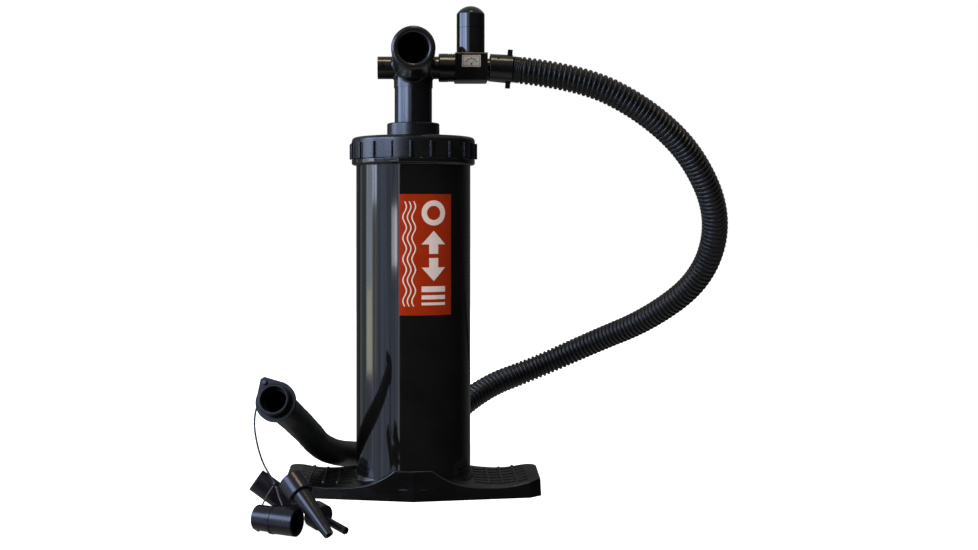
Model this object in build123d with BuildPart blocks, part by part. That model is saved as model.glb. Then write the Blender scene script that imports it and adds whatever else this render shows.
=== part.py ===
"""Double action hand pump: foot, barrel, piston and rod, T handle, relief valve, hose and adapters.

Millimetres, +Z up. The origin is on the floor, on the barrel's axis. The foot's wings lie along X, the
grips of the handle along Y, and the hose leaves the handle towards +X. The handle is down on its stop.
"""

from build123d import *
from math import atan, cos, degrees, pi, radians, sin, tan
import os

os.makedirs("parts", exist_ok=True)

# ---------------------------------------------------------------- driving dimensions
FIT = 0.06  # radial running clearance
SNUG = 0.02  # radial gap of a pressed or glued joint

# Foot
FOOT_OUTLINE = [
    (0, -61),
    (112.7, -43.5),
    (124.3, -34),
    (126.5, 36),
    (0, 61),
    (-126.5, 36),
    (-124.3, -34),
    (-112.7, -43.5),
]
FOOT_BACK_CORNER, FOOT_FRONT_CORNER = 20.0, 3.0
FOOT_TOP = 29.0
FOOT_TAPER = 3.0
TREAD = [(18, 29), (29, 21.6), (42, 15.6), (60, 12), (80, 11), (98, 12.4), (112, 15.4), (128, 18.6)]
TREAD_EDGE = 1.4
RIDGE_X = [74.0, 87.7, 101.5]
RIDGE_Z = [11.1, 11.4, 13.0]
RIDGE_R, RIDGE_END_R = 1.5, 1.9
RIDGE_Y0, RIDGE_Y1 = -28.0, 36.0
RIB_Y = [-29, -17, -5, 7, 19, 31]
RIB_RISE, RIB_HALF = 0.5, 0.7
SKIRT_R, SKIRT_Z, SKIRT_RISE = 60.0, 11.0, 6.5  # the low cone round the barrel
HUB_FLOOR_Z = 8.0
HOLLOW_R, HOLLOW_DEPTH = 44.0, 5.0
POCKET = (15.5, 19.5, 7.2)  # one hollow between the ribs under a wing
POCKET_X, POCKET_PITCH = 88.0, (18.0, 22.0)

# Barrel and its end plug
BARREL_R = 57.0
BORE_R = 54.5
BARREL_TOP = 343.0
FLANGE_R = 61.5
FLANGE_Z0, FLANGE_Z1 = 322.0, 327.4
PLUG_TOP = 19.0
PLUG_RING_Z = 13.6
PLUG_GROOVE, PLUG_GROOVE_DEPTH = 3.6, 3.4
SCREW_CIRCLE = 32.0
SCREW_R, SCREW_HOLE_R = 1.95, 2.6
SCREW_HEAD_R, SCREW_HEAD = 4.2, 2.6
SCREW_LENGTH = 10.0
SLOT = (5.5, 1.0, 1.4)  # one arm of a screw head's cross
BUMPER_R, BUMPER_BORE_R = 23.0, 15.0

# Screw cap
CAP_Z0, CAP_Z1 = 327.8, 349.4
CAP_DISC = 4.0
CAP_RIBS = 20
RIB_PHASE = -91.8
RIB_PROUD = 2.3
RIB_WIDTH, CAP_RIB_HEIGHT = 2.3, 15.5
COLLAR_R = 26.2
COLLAR_TOP = 363.8
CAP_EDGE, COLLAR_EDGE = 4.0, 1.5
LOCK_NOTCH, LOCK_ANGLE = (3.4, 5.0, 9.0), -35.0  # a notch in the collar's rim, for a transport lock
GUIDE_R, GUIDE_LENGTH = 22.0, 10.2
LIP_TOP, LIP_INNER, LIP_OUTER = 3.4, 5.4, 7.8  # the rod seal's faces, down from the collar's top
STOP_R, STOP_THICK = 27.0, 4.0

# Rod and piston
ROD_R, ROD_BORE_R = 18.7, 16.2
AIR_TUBE_R, AIR_TUBE_BORE_R = 11.0, 9.5
PISTON_Z = 24.0
PISTON_PLATE = 8.0
PISTON_R = 53.3
SPIGOT_R = 48.0
PISTON_MID = PISTON_Z + 12.0
PISTON_TOP = PISTON_Z + 24.0
NUT_R, NUT_TOP = 25.5, 56.0
TUBE_SEAT = 3.0  # how deep the air tube stands in its seats
VALVE_CIRCLE = 32.0
VALVE_R = 8.0
VALVE_POCKET_R = 8.5
VALVE_PORT_R = 5.0
POCKET_DEPTH = 5.0
CHANNEL_WIDTH, CHANNEL_DEPTH = 6.0, 3.0
DISC_THICK, DISC_GAP, DISC_TRAVEL = 2.0, 0.3, 1.2
RING_THICK, RING_BORE_R = 1.2, 6.0
PISTON_SCREW_CIRCLE, PISTON_HEAD_R, PISTON_HEAD = 40.0, 3.8, 2.6

# Handle
GRIP_Z = 425.7
GRIP_R = 20.5
GRIP_BORE_R = 14.0
GRIP_HALF = 100.0
GRIP_BORE_DEPTH = 74.0
NECK_R = 19.4
NECK_Z = 399.4
NECK_BLEND, PORT_BLEND = 4.0, 1.8
GRIP_EDGE, GRIP_MOUTH_EDGE = 3.0, 2.6
SEAT_Z = 410.0
PORT_Z = 419.5
PORT_R = 11.25
PORT_BORE_R = 7.5
PORT_LEFT, PORT_END = -35.6, -12.6
BAYONET_X, BAYONET_R, BAYONET_PROUD = -31.0, 1.7, 1.6
AIR_SLOT_X, AIR_SLOT = -14.0, (3.6, 9.0)  # from the ring channel up into the intake port
BLOCK_X0, BLOCK_X1 = 41.5, 73.5
BLOCK_HALF_Y = 16.0
BLOCK_Z0, BLOCK_Z1 = 405.1, 433.1
BLOCK_EDGE = 1.6
NIPPLE_R, NIPPLE_LENGTH = 9.2, 15.0
AIR_WAY_R = 7.4
COLLAR_X0, PORT_COLLAR_R = 25.3, 14.15
GROOVES_X, GROOVE_WIDTH, GROOVE_FLOOR_R = [34.6, 36.8, 39.0], 0.9, 13.6

# Relief valve, on its own vertical axis over the block
RELIEF_X = 57.3
RELIEF_R = 14.0
RELIEF_BORE_R = 11.5
RELIEF_SEAM_Z = 458.8
RELIEF_SHOULDER_Z = 473.0
RELIEF_TOP = 481.0
RELIEF_SHOULDER_EDGE = 3.0
RELIEF_SPIGOT = 6.0
SEAT_RING_R, SEAT_BORE_R, SEAT_THICK = 9.5, 5.6, 2.0
POPPET_R, POPPET_THICK = 8.4, 3.0
STEM_R, STEM_LENGTH = 2.6, 18.0
VENT_R, VENT_ANGLES = 1.6, (60, 90, 120)  # at the back
STICKER_AT, STICKER_SIZE, STICKER_THICK = (57.3, 424.4), (18.4, 11.6), 0.25
SPRING_Z0, SPRING_Z1 = 438.4, 468.0
SPRING_COIL_R, SPRING_WIRE_R = 5.4, 0.65
SPRING_TURNS = 6

# Hose: the corners of its route, from the cuff round behind the barrel to the socket at its free end
HOSE_R, HOSE_BORE_R = 13.6, 11.0
ROUTE = [
    (99, 0, 418),
    (166, 2, 411),
    (231, 11, 381),
    (287, 34, 336),
    (324, 66, 270),
    (316, 104, 204),
    (268, 148, 156),
    (208, 192, 124),
    (143, 212, 91),
    (76, 190, 62),
    (4, 134, 14),
    (-54, 86, 14),
    (-92, 35, 29),
    (-106, -38, 68),
    (-120.8, -133.2, 106.2),
]
TAIL_START = (-25, 110, 14)  # where the smooth end pipe takes over, on the floor behind the barrel
CUFF_START = (75.7, 0, 419.7)
CUFF_LENGTH, CUFF_R0, CUFF_R1 = 22.7, 13.7, 14.25
CUFF_DROP = 0.075
CUFF_SOCKET_R, CUFF_SOCKET_DEPTH, CUFF_BORE_R = 10.7, 17.5, 9.0
CUFF_LUG, CUFF_LUG_AT = (6.0, 5.6, 4.6), (16.4, 19.9)  # two lugs at the sides: across, along
CUFF_PIN_R, CUFF_PIN_REACH, CUFF_PIN_AT, CUFF_PIN_ANGLE = 1.8, 14.7, 8.2, 137.0
TAIL_SLEEVE_LENGTH, TAIL_SLEEVE_WALL = 6.0, 0.4
SOCKET_LENGTH = 14.0
SOCKET_R, SOCKET_BORE_R, SOCKET_LEDGE = 14.2, 11.8, 1.5
STRAP_RING_R, STRAP_RING_AT, STRAP_RING_WIDTH = 18.1, 1.7, 4.0
TAB = [(9, 15.6), (25, 2), (25, -2), (12, -13.4)]  # along the tab and across it, from the socket's axis
TAB_ANGLE, TAB_HOLE_AT, TAB_HOLE_R = 124.0, 20.0, 1.5

# Tether from the socket's strap ring down to the adapters
TETHER_R = 0.85
TETHER_ROUTE = [
    (-131.8, -130.9, 123.8),
    (-130.5, -122.7, 120.5),
    (-135.5, -118.5, 112),
    (-140.5, -123.5, 101),
    (-141.5, -131.5, 87.5),
    (-138.5, -137.5, 73),
    (-134, -141.5, 59),
    (-128, -146.6, 48.5),
    (-121.3, -151.5, 40.6),
]
KNOT_R, KNOT_THICK = 2.3, 2.0
BEAD_R = 2.6
BEAD = (-120.0, -152.6, 38.7)

UP = (Align.CENTER, Align.CENTER, Align.MIN)
OUTWARD = (Align.MIN, Align.CENTER, Align.MIN)


def corner_radii(points):
    """Each corner's largest tangent arc: 0.45 of its shorter run over the tangent of half its turn."""
    radii = []
    for before, corner, after in zip(points, points[1:], points[2:]):
        run_in = Vector(corner) - Vector(before)
        run_out = Vector(after) - Vector(corner)
        half_turn = radians(run_in.get_angle(run_out)) / 2
        radii.append(0.45 * min(run_in.length, run_out.length) / tan(half_turn))
    return radii


def facing(origin, towards):
    """A plane at origin whose normal is towards, with its x axis level."""
    normal = Vector(*towards)
    return Plane(origin=origin, x_dir=normal.cross(Vector(0, 0, 1)) * -1, z_dir=normal)


def print_radii(name, points):
    print(name, "radii", [round(r) for r in corner_radii(points)])


# ---------------------------------------------------------------- foot and barrel
with BuildPart() as foot:
    with BuildSketch(Plane.XZ.offset(-80)):
        with BuildLine():
            right = Spline(*TREAD)
            mirror(right, about=Plane.YZ)
            Line((-TREAD[0][0], FOOT_TOP), (TREAD[0][0], FOOT_TOP))
            Polyline(TREAD[-1], (TREAD[-1][0], 0), (-TREAD[-1][0], 0), (-TREAD[-1][0], TREAD[-1][1]))
        make_face()
    extrude(amount=160)
    with BuildSketch():
        with BuildLine():
            Polyline(*FOOT_OUTLINE, close=True)
        make_face()
        corners = vertices().filter_by(lambda v: abs(v.X) > 100)
        fillet(corners.filter_by(lambda v: v.Y > 0), radius=FOOT_BACK_CORNER)
        fillet(corners.filter_by(lambda v: v.Y < 0), radius=FOOT_FRONT_CORNER)
    extrude(amount=FOOT_TOP + 1, taper=FOOT_TAPER, mode=Mode.INTERSECT)
    rim = foot.edges().filter_by(lambda e: e.center().Z > 8 and abs((e @ 0).X - (e @ 1).X) > 0.1)
    rim = rim.filter_by(lambda e: e.geom_type != GeomType.LINE or abs((e @ 0).Z - (e @ 1).Z) < 1)
    fillet(rim, TREAD_EDGE)
    # The tread of each wing carries fine lengthwise ribs and three rounded cross ridges with ball ends.
    for rib_y in RIB_Y:
        with BuildSketch(Plane.XZ.offset(-rib_y)):
            with BuildLine():
                rib_line = Spline(*[(x, z + RIB_RISE) for x, z in TREAD[3:-1]])
                Polyline(rib_line @ 1, (TREAD[-2][0], 8), (TREAD[3][0], 8), rib_line @ 0)
            make_face()
            mirror(about=Plane.YZ)
        extrude(amount=RIB_HALF, both=True)
    for side in (-1, 1):
        for ridge_x, ridge_z in zip(RIDGE_X, RIDGE_Z):
            with Locations(Location((side * ridge_x, RIDGE_Y0, ridge_z), (-90, 0, 0))):
                Cylinder(RIDGE_R, RIDGE_Y1 - RIDGE_Y0, align=UP)
            with Locations((side * ridge_x, RIDGE_Y0, ridge_z), (side * ridge_x, RIDGE_Y1, ridge_z)):
                Sphere(RIDGE_END_R)
    # A low cone rises to the barrel, which stands in a blind socket.
    with Locations((0, 0, SKIRT_Z)):
        Cone(SKIRT_R, BARREL_R + 0.6, SKIRT_RISE, align=UP)
    with Locations((0, 0, HUB_FLOOR_Z)):
        Cylinder(BARREL_R + SNUG, FOOT_TOP, align=UP, mode=Mode.SUBTRACT)
    # The underside is hollow between ribs.
    Cylinder(HOLLOW_R, HOLLOW_DEPTH, align=UP, mode=Mode.SUBTRACT)
    for side in (-1, 1):
        with Locations((side * POCKET_X, -1, 0)):
            with GridLocations(*POCKET_PITCH, 3, 3):
                Box(*POCKET, align=UP, mode=Mode.SUBTRACT)
    with PolarLocations(SCREW_CIRCLE, 4, start_angle=45):
        Cylinder(SCREW_HOLE_R, HUB_FLOOR_Z + 1, align=UP, mode=Mode.SUBTRACT)

with BuildPart() as barrel:
    with BuildSketch(Plane.XZ):
        with BuildLine():
            Polyline(
                (BORE_R, HUB_FLOOR_Z),
                (BARREL_R, HUB_FLOOR_Z),
                (BARREL_R, FLANGE_Z0),
                (FLANGE_R, FLANGE_Z0),
                (FLANGE_R, FLANGE_Z1),
                (BARREL_R, FLANGE_Z1),
                (BARREL_R, BARREL_TOP),
                (BORE_R, BARREL_TOP),
                close=True,
            )
        make_face()
    revolve(axis=Axis.Z)
    rings = barrel.edges().filter_by(GeomType.CIRCLE).sort_by(Axis.Z)
    fillet(rings.filter_by(lambda e: e.radius > FLANGE_R - 0.1)[-1], 0.8)
    fillet(rings.filter_by(lambda e: e.radius > FLANGE_R - 0.1)[0], 2.0)
    fillet(rings.filter_by(lambda e: abs(e.radius - BARREL_R) < 0.1)[1], 1.2)

with BuildPart() as barrel_plug:
    with Locations((0, 0, HUB_FLOOR_Z)):
        Cylinder(BORE_R - 0.1, PLUG_TOP - HUB_FLOOR_Z, align=UP)
    with Locations((0, 0, PLUG_RING_Z)):
        Cylinder(BORE_R, PLUG_GROOVE, mode=Mode.SUBTRACT)
        Cylinder(BORE_R - PLUG_GROOVE_DEPTH, PLUG_GROOVE)
    with Locations((0, 0, HUB_FLOOR_Z)):
        with PolarLocations(SCREW_CIRCLE, 4, start_angle=45):
            Cylinder(SCREW_R + SNUG, 8, align=UP, mode=Mode.SUBTRACT)

with BuildPart() as plug_ring:
    with Locations((0, 0, PLUG_RING_Z)):
        Torus(BORE_R - PLUG_GROOVE_DEPTH / 2, PLUG_GROOVE_DEPTH / 2 - 0.05)

with BuildPart() as foot_screws:
    with PolarLocations(SCREW_CIRCLE, 4, start_angle=45):
        with Locations((0, 0, HOLLOW_DEPTH)):
            Cylinder(SCREW_R, SCREW_LENGTH, align=UP)
        with Locations((0, 0, HOLLOW_DEPTH - SCREW_HEAD)):
            Cylinder(SCREW_HEAD_R, SCREW_HEAD, align=UP)
            Box(*SLOT, align=UP, mode=Mode.SUBTRACT)
            Box(SLOT[1], SLOT[0], SLOT[2], align=UP, mode=Mode.SUBTRACT)

with BuildPart() as bottom_bumper:
    with BuildSketch(Plane.XY.offset(PLUG_TOP)):
        Circle(BUMPER_R)
        Circle(BUMPER_BORE_R, mode=Mode.SUBTRACT)
    extrude(amount=PISTON_Z - PLUG_TOP - 0.3)
    fillet(bottom_bumper.faces().sort_by(Axis.Z)[-1].edges(), 1.2)

with BuildPart() as barrel_gasket:
    with BuildSketch(Plane.XY.offset(BARREL_TOP)):
        Circle(BARREL_R - 0.2)
        Circle(BORE_R + 0.2, mode=Mode.SUBTRACT)
    extrude(amount=CAP_Z1 - CAP_DISC - BARREL_TOP - 0.1)

LABEL_START, LABEL_ARC = -13.7, 53.0  # from the barrel's front, towards +X
LABEL_Z0, LABEL_Z1 = 176.8, 292.4
with BuildPart() as barrel_label:
    turn = radians(LABEL_START - 90)
    edge_plane = Plane(origin=(0, 0, 0), x_dir=(cos(turn), sin(turn), 0), z_dir=(sin(turn), -cos(turn), 0))
    with BuildSketch(edge_plane):
        with Locations((BARREL_R + 0.15, (LABEL_Z0 + LABEL_Z1) / 2)):
            Rectangle(0.25, LABEL_Z1 - LABEL_Z0)
    revolve(axis=Axis.Z, revolution_arc=LABEL_ARC)

# ---------------------------------------------------------------- screw cap, rod guide
with BuildPart() as screw_cap:
    disc_z = CAP_Z1 - CAP_DISC
    with BuildSketch(Plane.XZ):
        with BuildLine():
            Polyline(
                (BARREL_R + FIT, disc_z),
                (BARREL_R + FIT, CAP_Z0),
                (FLANGE_R, CAP_Z0),
                (FLANGE_R, CAP_Z1 - CAP_EDGE),
            )
            RadiusArc((FLANGE_R, CAP_Z1 - CAP_EDGE), (FLANGE_R - CAP_EDGE, CAP_Z1), -CAP_EDGE)
            Line((FLANGE_R - CAP_EDGE, CAP_Z1), (COLLAR_R, CAP_Z1))
            Line((COLLAR_R, CAP_Z1), (COLLAR_R, COLLAR_TOP - COLLAR_EDGE))
            RadiusArc(
                (COLLAR_R, COLLAR_TOP - COLLAR_EDGE),
                (COLLAR_R - COLLAR_EDGE, COLLAR_TOP),
                -COLLAR_EDGE,
            )
            Polyline(
                (COLLAR_R - COLLAR_EDGE, COLLAR_TOP),
                (ROD_R + 1, COLLAR_TOP),
                (ROD_R + 1, COLLAR_TOP - 3),
                (GUIDE_R + FIT, COLLAR_TOP - 3),
                (GUIDE_R + FIT, disc_z),
                (BARREL_R + FIT, disc_z),
            )
        make_face()
    revolve(axis=Axis.Z)
    with Locations((0, 0, CAP_Z0)):
        with PolarLocations(FLANGE_R, CAP_RIBS, start_angle=RIB_PHASE):
            Box(2 * RIB_PROUD, RIB_WIDTH, CAP_RIB_HEIGHT, align=UP)
    rib_edges = screw_cap.edges().filter_by(Axis.Z).filter_by(lambda e: e.length > CAP_RIB_HEIGHT - 1)
    fillet(rib_edges.filter_by(lambda e: abs(e.center().X) + abs(e.center().Y) > FLANGE_R + 1), 0.5)
    with Locations(Location((COLLAR_R, 0, COLLAR_TOP), (0, 0, LOCK_ANGLE))):
        Box(*LOCK_NOTCH, mode=Mode.SUBTRACT)

with BuildPart() as rod_guide:
    with BuildSketch(Plane.XY.offset(CAP_Z1 - CAP_DISC + 0.3)):
        Circle(GUIDE_R)
        Circle(ROD_R + FIT, mode=Mode.SUBTRACT)
    extrude(amount=GUIDE_LENGTH)

with BuildPart() as rod_seal:
    with BuildSketch(Plane.XZ):
        with BuildLine():
            Polyline(
                (ROD_R + FIT, COLLAR_TOP - LIP_INNER),
                (GUIDE_R - 0.1, COLLAR_TOP - LIP_OUTER),
                (GUIDE_R - 0.1, COLLAR_TOP - LIP_TOP),
                (ROD_R + FIT, COLLAR_TOP - LIP_TOP),
                close=True,
            )
        make_face()
    revolve(axis=Axis.Z)

with BuildPart() as top_bumper:
    with BuildSketch(Plane.XY.offset(CAP_Z1 - CAP_DISC - STOP_THICK)):
        Circle(STOP_R)
        Circle(ROD_R + 1.2, mode=Mode.SUBTRACT)
    extrude(amount=STOP_THICK)

# ---------------------------------------------------------------- rod
with BuildPart() as rod_tube:
    with BuildSketch(Plane.XY.offset(PISTON_Z + 16)):
        Circle(ROD_R)
        Circle(ROD_BORE_R, mode=Mode.SUBTRACT)
    extrude(amount=SEAT_Z - 0.1 - PISTON_Z - 16)

with BuildPart() as air_tube:
    with BuildSketch(Plane.XY.offset(PISTON_MID - TUBE_SEAT)):
        Circle(AIR_TUBE_R)
        Circle(AIR_TUBE_BORE_R, mode=Mode.SUBTRACT)
    extrude(amount=SEAT_Z - PISTON_MID + 2 * TUBE_SEAT)

# ---------------------------------------------------------------- piston with its four check valves
# At 0 and 90 degrees air comes in from the ring channel, at 180 and 270 it leaves to the middle channel.
INTAKE_LOW, INTAKE_HIGH, OUTLET_LOW, OUTLET_HIGH = 0, 90, 180, 270
PLATE_LOW = PISTON_Z + PISTON_PLATE
PLATE_HIGH = PISTON_TOP - PISTON_PLATE


def valve_axis(angle, height):
    """The place of a valve's axis at that angle on the valve circle, at a height."""
    return Location((VALVE_CIRCLE * cos(radians(angle)), VALVE_CIRCLE * sin(radians(angle)), height))


with BuildPart() as piston_lower:
    with Locations((0, 0, PISTON_Z)):
        Cylinder(PISTON_R, PISTON_PLATE, align=UP)
    with Locations((0, 0, PLATE_LOW)):
        Cylinder(SPIGOT_R, PISTON_MID - PLATE_LOW, align=UP)
    with Locations((0, 0, PISTON_Z + 4)):
        Cylinder(AIR_TUBE_BORE_R, 20, align=UP, mode=Mode.SUBTRACT)
    with Locations((0, 0, PISTON_MID - TUBE_SEAT)):
        Cylinder(AIR_TUBE_R + SNUG, TUBE_SEAT, align=UP, mode=Mode.SUBTRACT)
    with Locations(valve_axis(INTAKE_LOW, PISTON_Z)):
        Cylinder(VALVE_POCKET_R, POCKET_DEPTH, align=UP, mode=Mode.SUBTRACT)
        Cylinder(VALVE_PORT_R, 12, align=UP, mode=Mode.SUBTRACT)
    with Locations(valve_axis(OUTLET_LOW, PISTON_Z + 4), valve_axis(OUTLET_HIGH, PISTON_Z + 5)):
        Cylinder(VALVE_POCKET_R, 8, align=UP, mode=Mode.SUBTRACT)
    with Locations(valve_axis(OUTLET_LOW, PISTON_Z)):
        Cylinder(VALVE_PORT_R, 5, align=UP, mode=Mode.SUBTRACT)
    for outlet in (OUTLET_LOW, OUTLET_HIGH):
        with Locations(Location((0, 0, PISTON_Z + 5.5), (0, 0, outlet))):
            Box(VALVE_CIRCLE, CHANNEL_WIDTH, CHANNEL_DEPTH, align=OUTWARD, mode=Mode.SUBTRACT)
    with Locations((0, 0, PISTON_Z + 3)):
        with PolarLocations(PISTON_SCREW_CIRCLE, 4, start_angle=45):
            Cylinder(SCREW_R + SNUG, 10, align=UP, mode=Mode.SUBTRACT)

with BuildPart() as piston_upper:
    with Locations((0, 0, PLATE_HIGH)):
        Cylinder(PISTON_R, PISTON_PLATE, align=UP)
    with Locations((0, 0, PISTON_MID)):
        Cylinder(SPIGOT_R, PLATE_HIGH - PISTON_MID, align=UP)
    with Locations((0, 0, PISTON_MID)):
        Cylinder(ROD_BORE_R, 5, align=UP, mode=Mode.SUBTRACT)
    with Locations((0, 0, PLATE_HIGH)):
        Cylinder(ROD_R + SNUG, 10, align=UP, mode=Mode.SUBTRACT)
    with Locations(valve_axis(INTAKE_HIGH, PISTON_TOP - POCKET_DEPTH)):
        Cylinder(VALVE_POCKET_R, POCKET_DEPTH + 1, align=UP, mode=Mode.SUBTRACT)
    with Locations(valve_axis(INTAKE_HIGH, PISTON_MID + 0.5), valve_axis(OUTLET_HIGH, PISTON_MID + 0.5)):
        Cylinder(VALVE_PORT_R, 12, align=UP, mode=Mode.SUBTRACT)
    with Locations(valve_axis(OUTLET_HIGH, PISTON_MID), valve_axis(OUTLET_LOW, PISTON_MID - 2)):
        Cylinder(VALVE_POCKET_R, 8, align=UP, mode=Mode.SUBTRACT)
    with Locations(valve_axis(INTAKE_LOW, PISTON_MID)):
        Cylinder(VALVE_PORT_R, 3, align=UP, mode=Mode.SUBTRACT)
    for intake in (INTAKE_LOW, INTAKE_HIGH):
        with Locations(Location((0, 0, PISTON_MID), (0, 0, intake))):
            Box(VALVE_CIRCLE, CHANNEL_WIDTH, CHANNEL_DEPTH, align=OUTWARD, mode=Mode.SUBTRACT)
    with Locations((0, 0, PISTON_MID)):
        with PolarLocations(PISTON_SCREW_CIRCLE, 4, start_angle=45):
            Cylinder(SCREW_R + SNUG, 13, align=UP, mode=Mode.SUBTRACT)
    with Locations((0, 0, PISTON_TOP - 3)):
        with PolarLocations(PISTON_SCREW_CIRCLE, 4, start_angle=45):
            Cylinder(PISTON_HEAD_R + 0.2, 4, align=UP, mode=Mode.SUBTRACT)

with BuildPart() as piston_screws:
    with PolarLocations(PISTON_SCREW_CIRCLE, 4, start_angle=45):
        with Locations((0, 0, PISTON_TOP - 3)):
            Cylinder(PISTON_HEAD_R, PISTON_HEAD, align=UP)
        with Locations((0, 0, PISTON_Z + 4)):
            Cylinder(SCREW_R, PISTON_TOP - 7 - PISTON_Z, align=UP)

with BuildPart() as piston_seal:
    with BuildSketch(Plane.XY.offset(PLATE_LOW + 0.05)):
        Circle(BORE_R - FIT)
        Circle(SPIGOT_R + SNUG, mode=Mode.SUBTRACT)
    extrude(amount=PISTON_PLATE - 0.1)
    with Locations((0, 0, PISTON_MID)):
        Torus(BORE_R, 1.2, mode=Mode.SUBTRACT)

with BuildPart() as rod_nut:
    with BuildSketch(Plane.XY.offset(PISTON_TOP)):
        RegularPolygon(NUT_R, 8)
        Circle(ROD_R + SNUG, mode=Mode.SUBTRACT)
    extrude(amount=NUT_TOP - PISTON_TOP)
    chamfer(rod_nut.faces().sort_by(Axis.Z)[-1].outer_wire().edges(), 1)

# Each disc rests on its seat: its valve's angle, its lower face, and the way it lifts, 1 up and -1 down.
DISC_SEATS = {
    "intake_disc_low": (INTAKE_LOW, PISTON_Z + POCKET_DEPTH - DISC_THICK, -1),
    "intake_disc_high": (INTAKE_HIGH, PISTON_TOP - POCKET_DEPTH, 1),
    "outlet_disc_low": (OUTLET_LOW, PISTON_Z + 4, 1),
    "outlet_disc_high": (OUTLET_HIGH, PISTON_MID + 8 - DISC_THICK, -1),
}
discs = {}
for disc_name, (angle, disc_z, way) in DISC_SEATS.items():
    with BuildPart(valve_axis(angle, disc_z)) as disc:
        Cylinder(VALVE_R - DISC_GAP, DISC_THICK, align=UP)
        fillet(disc.edges(), 0.4)
    discs[disc_name] = disc

# A ring keeps each disc in its pocket, a little past the end of its travel.
with BuildPart() as valve_rings:
    for angle, disc_z, way in DISC_SEATS.values():
        travel = DISC_TRAVEL + 0.2
        ring_z = disc_z + DISC_THICK + travel if way > 0 else disc_z - travel - RING_THICK
        with Locations(valve_axis(angle, ring_z)):
            Cylinder(VALVE_POCKET_R - SNUG, RING_THICK, align=UP)
            Cylinder(RING_BORE_R, RING_THICK, align=UP, mode=Mode.SUBTRACT)

# ---------------------------------------------------------------- handle with its two ports
with BuildPart() as handle:
    with Locations(Location((0, 0, GRIP_Z), (90, 0, 0))):
        Cylinder(GRIP_R, 2 * GRIP_HALF)
    with Locations((0, 0, NECK_Z)):
        Cylinder(NECK_R, GRIP_Z - NECK_Z, align=UP)
    blend = handle.edges().filter_by(GeomType.BSPLINE)
    fillet(blend, NECK_BLEND)
    with Locations(Location((PORT_LEFT, 0, PORT_Z), (0, 90, 0))):
        Cylinder(PORT_R, BLOCK_X0 - PORT_LEFT, align=UP)
    blend = handle.edges().filter_by(GeomType.BSPLINE).filter_by(lambda e: 12 < abs(e.center().X) < 30)
    blend = blend.filter_by(lambda e: abs(e.center().Y) < PORT_R + 1)
    fillet(blend.filter_by(lambda e: abs(e.center().Z - PORT_Z) < PORT_R + 2), PORT_BLEND)
    for end in (-1, 1):
        with Locations(Location((0, end * GRIP_HALF, GRIP_Z), (end * 90, 0, 0))):
            Cylinder(GRIP_BORE_R, GRIP_BORE_DEPTH, align=UP, mode=Mode.SUBTRACT)
    rims = handle.edges().filter_by(GeomType.CIRCLE)
    rims = rims.filter_by(lambda e: abs(abs(e.center().Y) - GRIP_HALF) < 0.1)
    fillet(rims.filter_by(lambda e: e.radius > 18), GRIP_EDGE)
    fillet(rims.filter_by(lambda e: e.radius < 18), GRIP_MOUTH_EDGE)
    # Bayonet pins of the intake port, front and back.
    for side in (-1, 1):
        with Locations(Location((BAYONET_X, side * (PORT_R - 1), PORT_Z + 1.6), (side * -90, 0, 0))):
            Cylinder(BAYONET_R, BAYONET_PROUD + 1, align=UP)
    with Locations((0, 0, NECK_Z)):
        Cylinder(ROD_R + SNUG, SEAT_Z - NECK_Z, align=UP, mode=Mode.SUBTRACT)
    with Locations((0, 0, SEAT_Z)):
        Cylinder(AIR_TUBE_R + SNUG, TUBE_SEAT, align=UP, mode=Mode.SUBTRACT)
        Cylinder(AIR_TUBE_BORE_R, PORT_Z - SEAT_Z, align=UP, mode=Mode.SUBTRACT)
    with Locations(Location((0, 0, PORT_Z), (0, 90, 0))):
        Cylinder(PORT_BORE_R, BLOCK_X0, align=UP, mode=Mode.SUBTRACT)
    with Locations(Location((PORT_END, 0, PORT_Z), (0, -90, 0))):
        Cylinder(PORT_BORE_R, PORT_END - PORT_LEFT, align=UP, mode=Mode.SUBTRACT)
    with Locations((AIR_SLOT_X, 0, SEAT_Z - 0.5)):
        Box(*AIR_SLOT, PORT_Z - SEAT_Z, align=UP, mode=Mode.SUBTRACT)

with BuildPart() as port_collar:
    with BuildSketch(Plane.YZ.offset(COLLAR_X0)):
        with Locations((0, PORT_Z)):
            Circle(PORT_COLLAR_R)
            Circle(PORT_R + SNUG, mode=Mode.SUBTRACT)
    extrude(amount=BLOCK_X0 - COLLAR_X0 - 0.05)
    fillet(port_collar.faces().sort_by(Axis.X)[0].outer_wire().edges(), 1.2)
    for groove_x in GROOVES_X:
        with BuildSketch(Plane.YZ.offset(groove_x)):
            with Locations((0, PORT_Z)):
                Circle(PORT_COLLAR_R + 1)
                Circle(GROOVE_FLOOR_R, mode=Mode.SUBTRACT)
        extrude(amount=GROOVE_WIDTH, mode=Mode.SUBTRACT)

# ---------------------------------------------------------------- relief valve
with BuildPart() as relief_block:
    block_size = (BLOCK_X1 - BLOCK_X0, 2 * BLOCK_HALF_Y, BLOCK_Z1 - BLOCK_Z0)
    with Locations(((BLOCK_X0 + BLOCK_X1) / 2, 0, BLOCK_Z0)):
        Box(*block_size, align=UP)
    fillet(relief_block.edges().filter_by(Axis.X), BLOCK_EDGE)
    with Locations(Location((BLOCK_X1, 0, PORT_Z), (0, 90, 0))):
        Cylinder(NIPPLE_R, NIPPLE_LENGTH, align=UP)
    with Locations(Location((BLOCK_X0, 0, PORT_Z), (0, 90, 0))):
        Cylinder(AIR_WAY_R, BLOCK_X1 - BLOCK_X0 + NIPPLE_LENGTH, align=UP, mode=Mode.SUBTRACT)
    with Locations((RELIEF_X, 0, PORT_Z)):
        Cylinder(SEAT_BORE_R - 0.1, 20, align=UP, mode=Mode.SUBTRACT)

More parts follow.
